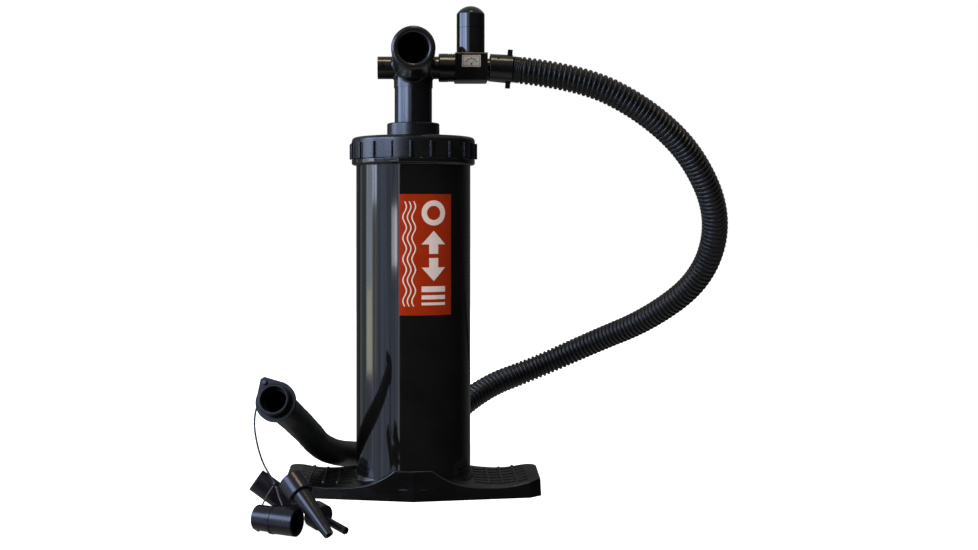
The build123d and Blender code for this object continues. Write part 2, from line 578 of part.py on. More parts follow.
with BuildPart() as relief_housing:
    with BuildSketch(Plane.XY.offset(BLOCK_Z1)):
        with Locations((RELIEF_X, 0)):
            Circle(RELIEF_R)
            Circle(RELIEF_BORE_R, mode=Mode.SUBTRACT)
    extrude(amount=RELIEF_SEAM_Z - BLOCK_Z1 - 0.35)
    for vent_angle in VENT_ANGLES:
        with Locations(Location((RELIEF_X, 0, BLOCK_Z1 + 8), (0, 90, vent_angle))):
            Cylinder(VENT_R, 20, align=UP, mode=Mode.SUBTRACT)

relief_axis = Axis((RELIEF_X, 0, 0), (0, 0, 1))
with BuildPart() as relief_cap:
    with BuildSketch(Plane(origin=(RELIEF_X, 0, 0), x_dir=(1, 0, 0), z_dir=(0, -1, 0))):
        with BuildLine():
            rise = RELIEF_TOP - RELIEF_SHOULDER_Z
            dome_r = (RELIEF_R**2 + rise**2) / (2 * rise)
            dome_angle = degrees(atan((dome_r - rise) / RELIEF_R))
            dome = CenterArc((0, RELIEF_TOP - dome_r), dome_r, dome_angle, 90 - dome_angle)
            Polyline(
                dome @ 1,
                (0, SPRING_Z1),
                (RELIEF_BORE_R - 1.9, SPRING_Z1),
                (RELIEF_BORE_R - 1.9, RELIEF_SEAM_Z - RELIEF_SPIGOT),
                (RELIEF_BORE_R - SNUG, RELIEF_SEAM_Z - RELIEF_SPIGOT),
                (RELIEF_BORE_R - SNUG, RELIEF_SEAM_Z),
                (RELIEF_R, RELIEF_SEAM_Z),
                dome @ 0,
            )
        make_face()
    revolve(axis=relief_axis)
    rings = relief_cap.edges().filter_by(GeomType.CIRCLE)
    fillet(rings.filter_by(lambda e: abs(e.center().Z - RELIEF_SHOULDER_Z) < 0.1), RELIEF_SHOULDER_EDGE)

with BuildPart() as relief_seat:
    with BuildSketch(Plane.XY.offset(BLOCK_Z1)):
        with Locations((RELIEF_X, 0)):
            Circle(SEAT_RING_R)
            Circle(SEAT_BORE_R, mode=Mode.SUBTRACT)
    extrude(amount=SEAT_THICK)

with BuildPart() as relief_poppet:
    with Locations((RELIEF_X, 0, BLOCK_Z1 + SEAT_THICK + 0.05)):
        Cylinder(POPPET_R, POPPET_THICK, align=UP)
        Cylinder(STEM_R, STEM_LENGTH, align=UP)

with BuildPart() as relief_spring:
    coil_height = SPRING_Z1 - SPRING_Z0 - 2 * SPRING_WIRE_R
    with BuildLine():
        coil = Helix(
            pitch=coil_height / SPRING_TURNS,
            height=coil_height,
            radius=SPRING_COIL_R,
            center=(RELIEF_X, 0, SPRING_Z0 + SPRING_WIRE_R),
        )
    with BuildSketch(Plane(origin=coil @ 0, z_dir=coil % 0)):
        Circle(SPRING_WIRE_R)
    sweep(path=coil)

with BuildPart() as relief_sticker:
    with BuildSketch(Plane.XZ.offset(BLOCK_HALF_Y)):
        with Locations(STICKER_AT):
            RectangleRounded(*STICKER_SIZE, 0.8)
    extrude(amount=STICKER_THICK)

# ---------------------------------------------------------------- hose
cuff_plane = facing(CUFF_START, (1, 0, -CUFF_DROP))
with BuildPart(cuff_plane) as hose_cuff:
    Cone(CUFF_R0, CUFF_R1, CUFF_LENGTH, align=UP)
    fillet(hose_cuff.faces().sort_by(Axis.X)[0].edges(), 1.0)
    for side in (-1, 1):
        with Locations((0, side * CUFF_LUG_AT[0], CUFF_LUG_AT[1])):
            Box(*CUFF_LUG)
    with Locations(Location((0, 0, CUFF_PIN_AT), (0, 0, CUFF_PIN_ANGLE))):
        with Locations(Location((0, 0, 0), (0, 90, 0))):
            Cylinder(CUFF_PIN_R, CUFF_PIN_REACH, align=UP)
    Cylinder(CUFF_SOCKET_R, CUFF_SOCKET_DEPTH, align=UP, mode=Mode.SUBTRACT)
    Cylinder(CUFF_BORE_R, CUFF_LENGTH, align=UP, mode=Mode.SUBTRACT)

print_radii("hose", ROUTE)
with BuildPart() as whole_hose:
    with BuildLine():
        hose_path = FilletPolyline(*ROUTE, radius=corner_radii(ROUTE))
    with BuildSketch(Plane(origin=hose_path @ 0, z_dir=hose_path % 0)):
        Circle(HOSE_R)
        Circle(HOSE_BORE_R, mode=Mode.SUBTRACT)
    sweep(path=hose_path)
hose_section = pi * (HOSE_R**2 - HOSE_BORE_R**2)
print("hose length", round(hose_path.length), "from volume", round(whole_hose.part.volume / hose_section))

tail_cut = Plane(origin=TAIL_START, z_dir=Vector(*ROUTE[11]) - Vector(*ROUTE[10]))
with BuildPart() as hose:
    add(whole_hose.part)
    split(bisect_by=tail_cut, keep=Keep.BOTTOM)

with BuildPart() as hose_tail:
    add(whole_hose.part)
    split(bisect_by=tail_cut, keep=Keep.TOP)

# A sleeve covers the joint of the ribbed hose and the smooth pipe.
with BuildPart(tail_cut) as tail_sleeve:
    Cylinder(HOSE_R + TAIL_SLEEVE_WALL, TAIL_SLEEVE_LENGTH)
    Cylinder(HOSE_R + 0.05, TAIL_SLEEVE_LENGTH, mode=Mode.SUBTRACT)

socket_plane = facing(ROUTE[-1], Vector(*ROUTE[-1]) - Vector(*ROUTE[-2]))
with BuildPart(socket_plane) as hose_socket:
    Cylinder(SOCKET_R, SOCKET_LENGTH, align=UP)
    fillet(hose_socket.edges().group_by(Axis.Y)[0], 1.1)
    Cylinder(HOSE_BORE_R - 1, SOCKET_LENGTH, align=UP, mode=Mode.SUBTRACT)
    with Locations((0, 0, SOCKET_LEDGE)):
        Cylinder(SOCKET_BORE_R, SOCKET_LENGTH, align=UP, mode=Mode.SUBTRACT)

with BuildPart() as strap_ring:
    with BuildSketch(socket_plane.offset(STRAP_RING_AT)):
        Circle(STRAP_RING_R)
        with Locations(Location((0, 0, 0), (0, 0, TAB_ANGLE))):
            Polygon(*TAB, align=None)
        Circle(SOCKET_R + SNUG, mode=Mode.SUBTRACT)
        with Locations(Location((0, 0, 0), (0, 0, TAB_ANGLE))):
            with Locations((TAB_HOLE_AT, 0)):
                Circle(TAB_HOLE_R, mode=Mode.SUBTRACT)
    extrude(amount=STRAP_RING_WIDTH)

# ---------------------------------------------------------------- tether and adapters
print_radii("tether", TETHER_ROUTE)
with BuildPart() as tether:
    with BuildLine():
        tether_path = FilletPolyline(*TETHER_ROUTE, radius=corner_radii(TETHER_ROUTE))
    with BuildSketch(Plane(origin=tether_path @ 0, z_dir=tether_path % 0)):
        Circle(TETHER_R)
    sweep(path=tether_path)
print("tether length", round(tether_path.length, 1))

with BuildPart(facing(TETHER_ROUTE[0], Vector(*TETHER_ROUTE[0]) - Vector(*TETHER_ROUTE[1]))) as tether_knot:
    Cylinder(KNOT_R, KNOT_THICK, align=UP)
    fillet(tether_knot.edges(), 0.8)

with BuildPart() as tether_bead:
    with Locations(BEAD):
        Sphere(BEAD_R)

# Each adapter: where its axis starts and which way it points.
SLEEVE_START, SLEEVE_DIR = (-134.4, -163, 12.4), (0.9, -0.436, 0)
SLEEVE_STEM_R, SLEEVE_STEM = 10.9, 16.0
SLEEVE_R, SLEEVE_LENGTH = 11.8, 40.0
SLEEVE_FLANGE_R, SLEEVE_FLANGE = 12.3, 2.4
SLEEVE_STEM_BORE_R, SLEEVE_BORE_R, SLEEVE_BORE_DEPTH = 6.0, 9.4, 20.0
with BuildPart(facing(SLEEVE_START, SLEEVE_DIR)) as adapter_sleeve:
    Cylinder(SLEEVE_STEM_R, SLEEVE_STEM, align=UP)
    with Locations((0, 0, SLEEVE_STEM)):
        Cylinder(SLEEVE_R, SLEEVE_LENGTH - SLEEVE_STEM, align=UP)
        Cylinder(SLEEVE_FLANGE_R, SLEEVE_FLANGE, align=UP)
    fillet(adapter_sleeve.edges().group_by(Axis.X)[0], 1.2)
    with Locations(Location((0, 0, 6), (115, 0, 0))):
        Cylinder(1.5, 12.8, align=UP)
    Cylinder(SLEEVE_STEM_BORE_R, SLEEVE_LENGTH, align=UP, mode=Mode.SUBTRACT)
    with Locations((0, 0, SLEEVE_LENGTH - SLEEVE_BORE_DEPTH)):
        Cylinder(SLEEVE_BORE_R, SLEEVE_BORE_DEPTH, align=UP, mode=Mode.SUBTRACT)

PLAIN_START, PLAIN_DIR = (-138.5, -140, 39.5), (0.81, 0, -0.586)
PLAIN_R, PLAIN_BORE_R, PLAIN_LENGTH = 10.25, 8.0, 48.0
with BuildPart(facing(PLAIN_START, PLAIN_DIR)) as adapter_plain:
    Cylinder(PLAIN_R, PLAIN_LENGTH, align=UP)
    fillet(adapter_plain.edges(), 0.6)
    Cylinder(PLAIN_BORE_R, PLAIN_LENGTH, align=UP, mode=Mode.SUBTRACT)

CONE_START, CONE_DIR = (-105.5, -161.5, 44.5), (0.56, -0.57, -0.6)
CONE_CUP_R, CONE_CUP_LENGTH, CONE_CUP_BORE_R, CONE_CUP_DEPTH = 11.8, 18.0, 9.0, 12.0
CONE_R0, CONE_R1, CONE_LENGTH, CONE_BORE_R = 8.5, 4.3, 45.0, 2.6
with BuildPart(facing(CONE_START, CONE_DIR)) as adapter_cone:
    Cylinder(CONE_CUP_R, CONE_CUP_LENGTH, align=UP)
    fillet(adapter_cone.edges(), 1.0)
    with Locations((0, 0, CONE_CUP_LENGTH)):
        Cone(CONE_R0, CONE_R1, CONE_LENGTH, align=UP)
    Cylinder(CONE_CUP_BORE_R, CONE_CUP_DEPTH, align=UP, mode=Mode.SUBTRACT)
    Cylinder(CONE_BORE_R, CONE_CUP_LENGTH + CONE_LENGTH, align=UP, mode=Mode.SUBTRACT)

NEEDLE_START, NEEDLE_DIR = (-86.3, -155, 13.9), (0.72, -0.67, -0.2)
NEEDLE_CUP_R, NEEDLE_CUP_LENGTH, NEEDLE_CUP_BORE_R, NEEDLE_CUP_DEPTH = 11.5, 12.0, 9.0, 8.0
NEEDLE_R, NEEDLE_BORE_R, NEEDLE_LENGTH = 3.2, 1.6, 29.0
NEEDLE_SLOT = (1.4, 8.0, 6.0)  # across the tip
with BuildPart(facing(NEEDLE_START, NEEDLE_DIR)) as adapter_needle:
    Cylinder(NEEDLE_CUP_R, NEEDLE_CUP_LENGTH, align=UP)
    fillet(adapter_needle.edges(), 1.0)
    with Locations((0, 0, NEEDLE_CUP_LENGTH)):
        Cylinder(NEEDLE_R, NEEDLE_LENGTH, align=UP)
    Cylinder(NEEDLE_CUP_BORE_R, NEEDLE_CUP_DEPTH, align=UP, mode=Mode.SUBTRACT)
    Cylinder(NEEDLE_BORE_R, NEEDLE_CUP_LENGTH + NEEDLE_LENGTH, align=UP, mode=Mode.SUBTRACT)
    with Locations((0, 0, NEEDLE_CUP_LENGTH + NEEDLE_LENGTH - NEEDLE_SLOT[2])):
        Box(*NEEDLE_SLOT, align=UP, mode=Mode.SUBTRACT)

STRAPS = [
    [(-121.3, -153.6, 37.2), (-125.8, -156.8, 31.2), (-129.6, -164.6, 23.6)],
    [(-119.2, -154.2, 37.2), (-116.0, -163, 31.2), (-111.6, -172, 24.5)],
]
STRAP_R = 0.7
with BuildPart() as adapter_straps:
    for strap in STRAPS:
        with BuildLine():
            strap_path = FilletPolyline(*strap, radius=corner_radii(strap))
        with BuildSketch(Plane(origin=strap_path @ 0, z_dir=strap_path % 0)):
            Circle(STRAP_R)
        sweep(path=strap_path)

# ---------------------------------------------------------------- one file for each piece
pieces = {
    "foot": foot,
    "barrel": barrel,
    "barrel_plug": barrel_plug,
    "plug_ring": plug_ring,
    "foot_screws": foot_screws,
    "bottom_bumper": bottom_bumper,
    "barrel_gasket": barrel_gasket,
    "barrel_label": barrel_label,
    "screw_cap": screw_cap,
    "top_bumper": top_bumper,
    "rod_guide": rod_guide,
    "rod_seal": rod_seal,
    "rod_tube": rod_tube,
    "air_tube": air_tube,
    "piston_lower": piston_lower,
    "piston_upper": piston_upper,
    "piston_screws": piston_screws,
    "piston_seal": piston_seal,
    "rod_nut": rod_nut,
    "valve_rings": valve_rings,
    **discs,
    "handle": handle,
    "port_collar": port_collar,
    "relief_block": relief_block,
    "relief_housing": relief_housing,
    "relief_cap": relief_cap,
    "relief_seat": relief_seat,
    "relief_poppet": relief_poppet,
    "relief_spring": relief_spring,
    "relief_sticker": relief_sticker,
    "hose_cuff": hose_cuff,
    "hose": hose,
    "tail_sleeve": tail_sleeve,
    "hose_tail": hose_tail,
    "hose_socket": hose_socket,
    "strap_ring": strap_ring,
    "tether_knot": tether_knot,
    "tether": tether,
    "tether_bead": tether_bead,
    "adapter_straps": adapter_straps,
    "adapter_plain": adapter_plain,
    "adapter_sleeve": adapter_sleeve,
    "adapter_cone": adapter_cone,
    "adapter_needle": adapter_needle,
}
for name, piece in pieces.items():
    piece.part.label = name
    export_step(piece.part, f"parts/{name}.step")
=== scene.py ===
from bisect import bisect_right
from math import cos, pi, radians, sin

import bpy
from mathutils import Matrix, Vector


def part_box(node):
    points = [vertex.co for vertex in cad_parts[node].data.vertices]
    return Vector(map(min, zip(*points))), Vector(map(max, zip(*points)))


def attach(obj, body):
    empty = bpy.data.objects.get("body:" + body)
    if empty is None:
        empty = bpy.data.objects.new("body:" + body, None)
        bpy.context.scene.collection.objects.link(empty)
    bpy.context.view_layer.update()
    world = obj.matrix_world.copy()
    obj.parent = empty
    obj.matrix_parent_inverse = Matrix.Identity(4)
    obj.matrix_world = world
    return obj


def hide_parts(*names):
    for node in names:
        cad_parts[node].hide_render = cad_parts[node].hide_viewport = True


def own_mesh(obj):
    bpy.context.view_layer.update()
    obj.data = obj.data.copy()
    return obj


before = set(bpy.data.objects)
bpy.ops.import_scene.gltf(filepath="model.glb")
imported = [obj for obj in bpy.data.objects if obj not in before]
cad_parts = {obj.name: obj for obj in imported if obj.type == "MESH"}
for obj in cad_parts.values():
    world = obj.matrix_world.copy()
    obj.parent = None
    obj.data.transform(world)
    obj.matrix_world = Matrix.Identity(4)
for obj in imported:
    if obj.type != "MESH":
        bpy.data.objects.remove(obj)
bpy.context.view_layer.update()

MM = 0.001

# ---------------------------------------------------------------- camera
CAMERA_HEIGHT = 0.2734
CAMERA_DISTANCE = 1.170
CAMERA_LENS = 43.07
CAMERA_SHIFT = (0.0774, -0.0624)


def link(name, data):
    """A new object in the scene."""
    obj = bpy.data.objects.new(name, data)
    bpy.context.scene.collection.objects.link(obj)
    return obj


def add_camera():
    data = bpy.data.cameras.new("camera")
    data.lens = CAMERA_LENS
    data.sensor_width = 36
    data.shift_x, data.shift_y = CAMERA_SHIFT
    data.clip_start, data.clip_end = 0.05, 50
    camera = link("camera", data)
    camera.location = (0, -CAMERA_DISTANCE, CAMERA_HEIGHT)
    camera.rotation_euler = (radians(90), 0, 0)
    bpy.context.scene.camera = camera


# ---------------------------------------------------------------- node helpers
def new_material(name):
    """A material with its node tree, principled shader and object coordinates."""
    material = bpy.data.materials.new(name)
    material.use_nodes = True
    tree = material.node_tree
    shader = tree.nodes["Principled BSDF"]
    place = tree.nodes.new("ShaderNodeTexCoord")
    return material, tree, shader, place.outputs["Object"]


def stretched(tree, vector, scale, turn=(0, 0, 0)):
    """The coordinates, turned and scaled, so that a pattern can run along one axis."""
    node = tree.nodes.new("ShaderNodeMapping")
    node.inputs["Rotation"].default_value = turn
    node.inputs["Scale"].default_value = scale
    tree.links.new(vector, node.inputs["Vector"])
    return node.outputs["Vector"]


def noise(tree, vector, scale, detail=3.0, rough=0.55, distortion=0.0):
    node = tree.nodes.new("ShaderNodeTexNoise")
    node.inputs["Scale"].default_value = scale
    node.inputs["Detail"].default_value = detail
    node.inputs["Roughness"].default_value = rough
    node.inputs["Distortion"].default_value = distortion
    tree.links.new(vector, node.inputs["Vector"])
    return node.outputs["Fac"]


def remap(tree, value, low, high, to_low, to_high):
    node = tree.nodes.new("ShaderNodeMapRange")
    node.inputs["From Min"].default_value = low
    node.inputs["From Max"].default_value = high
    node.inputs["To Min"].default_value = to_low
    node.inputs["To Max"].default_value = to_high
    tree.links.new(value, node.inputs["Value"])
    return node.outputs["Result"]


def ramp(tree, value, *stops):
    """A colour ramp; each stop is a place from 0 to 1 and a colour."""
    node = tree.nodes.new("ShaderNodeValToRGB")
    elements = node.color_ramp.elements
    while len(elements) < len(stops):
        elements.new(0.5)
    for element, (at, color) in zip(elements, stops):
        element.position = at
        element.color = (*color, 1)
    tree.links.new(value, node.inputs["Fac"])
    return node.outputs["Color"]


def math_node(tree, operation, a, b):
    node = tree.nodes.new("ShaderNodeMath")
    node.operation = operation
    for socket, value in zip(node.inputs, (a, b)):
        if isinstance(value, (int, float)):
            socket.default_value = value
        else:
            tree.links.new(value, socket)
    return node.outputs["Value"]


def bump(tree, shader, height, depth, strength=1.0, under=None):
    """Raises the surface by up to depth metres where height is 1."""
    node = tree.nodes.new("ShaderNodeBump")
    node.inputs["Distance"].default_value = depth
    node.inputs["Strength"].default_value = strength
    tree.links.new(height, node.inputs["Height"])
    if under is not None:
        tree.links.new(under, node.inputs["Normal"])
    tree.links.new(node.outputs["Normal"], shader.inputs["Normal"])
    return node.outputs["Normal"]


# ---------------------------------------------------------------- materials
def plastic(
    name, dark, light, rough, grain=2200, grain_depth=0.006, streak=None, flow_depth=0.03,
    coat=0.0, shine=0.5,
):
    """Moulded plastic: cloudy colour, smudged gloss, the mould's grain and flow lines; depths in mm."""
    material, tree, shader, place = new_material(name)
    cloud = noise(tree, place, 26, 4, 0.6)
    tree.links.new(ramp(tree, cloud, (0.3, dark), (0.72, light)), shader.inputs["Base Color"])
    smudge = noise(tree, place, 34, 6, 0.62, 0.4)
    gloss = remap(tree, smudge, 0.32, 0.7, rough[0], rough[1])
    if streak is not None:
        lines = noise(tree, stretched(tree, place, streak), 1.0, 5, 0.6)
        gloss = math_node(tree, "MULTIPLY", gloss, remap(tree, lines, 0.3, 0.7, 0.82, 1.2))
    tree.links.new(gloss, shader.inputs["Roughness"])
    flow = bump(tree, shader, noise(tree, place, 55, 2, 0.5), flow_depth * MM, 0.5)
    bump(tree, shader, noise(tree, place, grain, 2, 0.5), grain_depth * MM, 1.0, flow)
    shader.inputs["Specular IOR Level"].default_value = shine
    shader.inputs["Coat Weight"].default_value = coat
    shader.inputs["Coat Roughness"].default_value = 0.04
    return material


def gloss_black():
    return plastic(
        "gloss_black", (0.0045, 0.0048, 0.0052), (0.0085, 0.0088, 0.0095), (0.05, 0.11),
        grain=900, grain_depth=0.0006, streak=(60, 60, 2.5), flow_depth=0.01, coat=0.15,
    )


def handle_black():
    return plastic(
        "handle_black", (0.0055, 0.0055, 0.006), (0.0105, 0.0105, 0.0115), (0.14, 0.24),
        grain=1500, grain_depth=0.004, streak=(40, 6, 40),
    )


def rod_black():
    return plastic(
        "rod_black", (0.005, 0.005, 0.006), (0.009, 0.009, 0.011), (0.1, 0.17),
        grain=1200, grain_depth=0.002, streak=(130, 130, 3),
    )


def cap_black():
    return plastic(
        "cap_black", (0.0045, 0.0048, 0.0056), (0.009, 0.0094, 0.0106), (0.22, 0.32),
        grain=2600, grain_depth=0.005,
    )


def foot_black():
    return plastic(
        "foot_black", (0.003, 0.0031, 0.0033), (0.006, 0.006, 0.0064), (0.15, 0.28),
        grain=1900, grain_depth=0.003, streak=(8, 70, 70),
    )


def block_black():
    return plastic(
        "block_black", (0.0036, 0.0036, 0.0037), (0.007, 0.0068, 0.0066), (0.16, 0.26),
        grain=2400, grain_depth=0.003,
    )


def hose_black():
    return plastic(
        "hose_black", (0.0035, 0.0036, 0.0038), (0.007, 0.007, 0.0074), (0.32, 0.46),
        grain=2600, grain_depth=0.008,
    )


def pipe_black():
    return plastic(
        "pipe_black", (0.005, 0.0056, 0.0054), (0.01, 0.0112, 0.0104), (0.34, 0.48),
        grain=2000, grain_depth=0.012,
    )


def socket_black():
    return plastic(
        "socket_black", (0.0032, 0.0034, 0.0034), (0.0064, 0.0068, 0.0066), (0.2, 0.32),
        grain=2200, grain_depth=0.004, shine=0.18,
    )


def adapter_black():
    return plastic(
        "adapter_black", (0.0055, 0.0052, 0.0085), (0.011, 0.0104, 0.017), (0.2, 0.3),
        grain=2300, grain_depth=0.0025, shine=0.4,
    )


def inner_plastic():
    return plastic(
        "inner_plastic", (0.47, 0.48, 0.47), (0.58, 0.59, 0.57), (0.4, 0.55),
        grain=1500, grain_depth=0.01,
    )


def seal_rubber():
    return plastic(
        "seal_rubber", (0.012, 0.012, 0.012), (0.024, 0.023, 0.022), (0.5, 0.66),
        grain=3200, grain_depth=0.02,
    )


def strap_pale():
    return plastic(
        "strap_pale", (0.03, 0.03, 0.034), (0.07, 0.07, 0.075), (0.34, 0.5),
        grain=2600, grain_depth=0.01,
    )


def metal(name, dark, light, rough, lines):
    """Turned or plated metal, with fine lines across and a clouded finish."""
    material, tree, shader, place = new_material(name)
    shader.inputs["Metallic"].default_value = 1.0
    cloud = noise(tree, place, 300, 4, 0.6)
    tree.links.new(ramp(tree, cloud, (0.3, dark), (0.75, light)), shader.inputs["Base Color"])
    turned = noise(tree, stretched(tree, place, lines), 1.0, 3, 0.6)
    tree.links.new(remap(tree, turned, 0.3, 0.7, rough[0], rough[1]), shader.inputs["Roughness"])
    bump(tree, shader, turned, 0.01 * MM)
    return material


def printed_film(name, dark, light, rough):
    """Printed plastic film: ink mottle, a slight orange peel and finger marks in the gloss."""
    material, tree, shader, place = new_material(name)
    mottle = noise(tree, place, 70, 5, 0.65)
    tree.links.new(ramp(tree, mottle, (0.28, dark), (0.74, light)), shader.inputs["Base Color"])
    tree.links.new(remap(tree, noise(tree, place, 45, 5), 0.3, 0.7, *rough), shader.inputs["Roughness"])
    peel = bump(tree, shader, noise(tree, place, 420, 2), 0.012 * MM)
    bump(tree, shader, noise(tree, place, 3200, 1), 0.004 * MM, 1.0, peel)
    shader.inputs["Specular IOR Level"].default_value = 0.16
    return material


gloss = gloss_black()
rod = rod_black()
grip = handle_black()
cap = cap_black()
foot = foot_black()
block = block_black()
hose_plastic = hose_black()
pipe_plastic = pipe_black()
socket = socket_black()
adapter = adapter_black()
inner = inner_plastic()
rubber = seal_rubber()
strap = strap_pale()
steel = metal("steel", (0.42, 0.42, 0.43), (0.62, 0.62, 0.62), (0.22, 0.4), (4000, 4000, 4000))
brass = metal("brass", (0.5, 0.36, 0.15), (0.74, 0.56, 0.26), (0.18, 0.34), (900, 900, 9000))
orange = printed_film("label_orange", (0.32, 0.022, 0.003), (0.41, 0.032, 0.005), (0.3, 0.42))
white_ink = printed_film("label_white", (0.78, 0.66, 0.63), (0.88, 0.76, 0.73), (0.34, 0.46))
grey_film = printed_film("sticker_grey", (0.42, 0.4, 0.38), (0.52, 0.5, 0.48), (0.35, 0.5))
dark_ink = printed_film("sticker_ink", (0.02, 0.02, 0.022), (0.04, 0.04, 0.04), (0.4, 0.55))

FINISHES = {
    gloss: ["barrel", "relief_housing", "relief_cap"],
    rod: ["rod_tube"],
    grip: ["handle"],
    cap: ["screw_cap"],
    foot: ["foot"],
    block: ["relief_block", "port_collar", "hose_cuff"],
    pipe_plastic: ["tail_sleeve"],
    socket: ["hose_socket", "strap_ring"],
    adapter: [
        "adapter_plain", "adapter_sleeve", "adapter_cone", "adapter_needle", "tether_knot", "tether_bead",
    ],
    strap: ["adapter_straps"],
    inner: [
        "barrel_plug", "rod_guide", "piston_lower", "piston_upper", "rod_nut", "valve_rings",
        "relief_seat", "intake_disc_low", "intake_disc_high", "outlet_disc_low", "outlet_disc_high",
        "air_tube",
    ],
    rubber: ["plug_ring", "bottom_bumper", "barrel_gasket", "top_bumper", "rod_seal", "piston_seal"],
    steel: ["foot_screws", "piston_screws"],
    brass: ["relief_poppet"],
    grey_film: ["relief_sticker"],
}


def cad_nodes(*names):
    return [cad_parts[name] for name in names]


def finish_cad_nodes():
    for material, names in FINISHES.items():
        for node in cad_nodes(*names):
            for material_slot in node.material_slots:
                material_slot.material = material


# ---------------------------------------------------------------- mesh helpers
def piece(name, vertices, faces, material, body, sharp=40):
    """A mesh that rides on a body, with edges sharper than the given degrees left hard."""
    mesh = bpy.data.meshes.new(name)
    mesh.from_pydata([tuple(v) for v in vertices], [], faces)
    mesh.validate()
    mesh.materials.append(material)
    mesh.polygons.foreach_set("use_smooth", [True] * len(mesh.polygons))
    mesh.set_sharp_from_angle(angle=radians(sharp))
    mesh.update()
    obj = link(name, mesh)
    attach(obj, body)
    return obj


class Path:
    """A smooth line with a frame carried along it, so that rings can be placed by distance."""

    def __init__(self, points):
        self.points = points
        self.at = [0.0]
        for a, b in zip(points, points[1:]):
            self.at.append(self.at[-1] + (b - a).length)
        self.length = self.at[-1]
        last = len(points) - 1
        self.ways = [
            (points[min(i + 1, last)] - points[max(i - 1, 0)]).normalized() for i in range(last + 1)
        ]
        side = self.ways[0].orthogonal().normalized()
        self.sides = [side]
        for a, b in zip(self.ways, self.ways[1:]):
            side = a.rotation_difference(b) @ side
            side = (side - b * side.dot(b)).normalized()
            self.sides.append(side)

    def place(self, distance):
        """The point, and the two directions across the line, at a distance along it."""
        i = min(max(bisect_right(self.at, distance) - 1, 0), len(self.at) - 2)
        share = (distance - self.at[i]) / (self.at[i + 1] - self.at[i])
        point = self.points[i].lerp(self.points[i + 1], share)
        way = self.ways[i].lerp(self.ways[i + 1], share).normalized()
        side = self.sides[i].lerp(self.sides[i + 1], share)
        side = (side - way * side.dot(way)).normalized()
        return point, side, way.cross(side)

    def ring(self, distance, radius, count):
        point, side, other = self.place(distance)
        turns = [2 * pi * k / count for k in range(count)]
        return [point + side * (radius * cos(t)) + other * (radius * sin(t)) for t in turns]


def ring_faces(a, b, count):
    """The faces between two rings whose first vertices are a and b."""
    return [(a + k, a + (k + 1) % count, b + (k + 1) % count, b + k) for k in range(count)]


def tube(path, stations, count):
    """A closed tube: its stations go along the outside and come back along the bore."""
    vertices, faces = [], []
    for distance, radius in stations:
        vertices += path.ring(distance, radius, count)
    for i in range(len(stations)):
        faces += ring_faces(i * count, (i + 1) % len(stations) * count, count)
    return vertices, faces


def capped_tube(path, stations, count):
    """A solid cord, closed by a flat face at each end."""
    vertices, faces = [], []
    for distance, radius in stations:
        vertices += path.ring(distance, radius, count)
    last = (len(stations) - 1) * count
    for a in range(0, last, count):
        faces += ring_faces(a, a + count, count)
    faces.append(tuple(range(count - 1, -1, -1)))
    faces.append(tuple(range(last, last + count)))
    return vertices, faces


def read_spline(name, route):
    """Points read from the NURBS spline whose control points are the route's."""
    curve = bpy.data.curves.new(name, "CURVE")
    curve.dimensions = "3D"
    curve.resolution_u = 40
    spline = curve.splines.new("NURBS")
    spline.points.add(len(route) - 1)
    for point, corner in zip(spline.points, route):
        point.co = (*corner, 1)
    spline.order_u = 3
    spline.use_endpoint_u = True
    holder = link(name, curve)
    mesh = bpy.data.meshes.new_from_object(holder)
    line = [v.co.copy() for v in mesh.vertices]
    bpy.data.objects.remove(holder)
    bpy.data.curves.remove(curve)
    bpy.data.meshes.remove(mesh)
    return line


# ---------------------------------------------------------------- the hose and its end pipe
HOSE_ROUTE = [
    (0.099, 0, 0.418),
    (0.166, 0.002, 0.411),
    (0.231, 0.011, 0.381),
    (0.287, 0.034, 0.336),
    (0.324, 0.066, 0.270),
    (0.316, 0.104, 0.204),
    (0.268, 0.148, 0.156),
    (0.208, 0.192, 0.124),
    (0.143, 0.212, 0.091),
    (0.076, 0.190, 0.070),
    (0.004, 0.134, 0.014),
    (-0.054, 0.086, 0.014),
    (-0.092, 0.035, 0.029),
    (-0.106, -0.038, 0.068),
    (-0.1208, -0.1332, 0.1062),
]
TAIL_START = Vector((-0.025, 0.110, 0.014))
HOSE_R = 13.6 * MM
HOSE_BORE_R = 11.0 * MM
RIB_PITCH = 5.05 * MM
RIB_DEPTH = 2.05 * MM
FINE_RIBS = 4  # shallow ribs beside the cuff
FINE_PITCH = 1.9 * MM
FINE_DEPTH = 0.7 * MM
FINE_INSET = 0.4 * MM
RIB_MARGIN = 1.0 * MM  # left without a rib at the far end
HOSE_SIDES = 56
BORE_STEPS = 240
PIPE_R = HOSE_R - 0.2 * MM
PIPE_STEPS = 260


def rib(start, pitch, crest, depth):
    """One rib: a rounded crest with steep sides, and a groove as wide as half the crest."""
    shape = [
        (0.0, 1.0),
        (0.12, 0.96),
        (0.22, 0.6),
        (0.32, 0.14),
        (0.44, 0.0),
        (0.6, 0.0),
        (0.74, 0.14),
        (0.85, 0.6),
        (0.93, 0.94),
    ]
    return [(start + at * pitch, crest - depth * drop) for at, drop in shape]


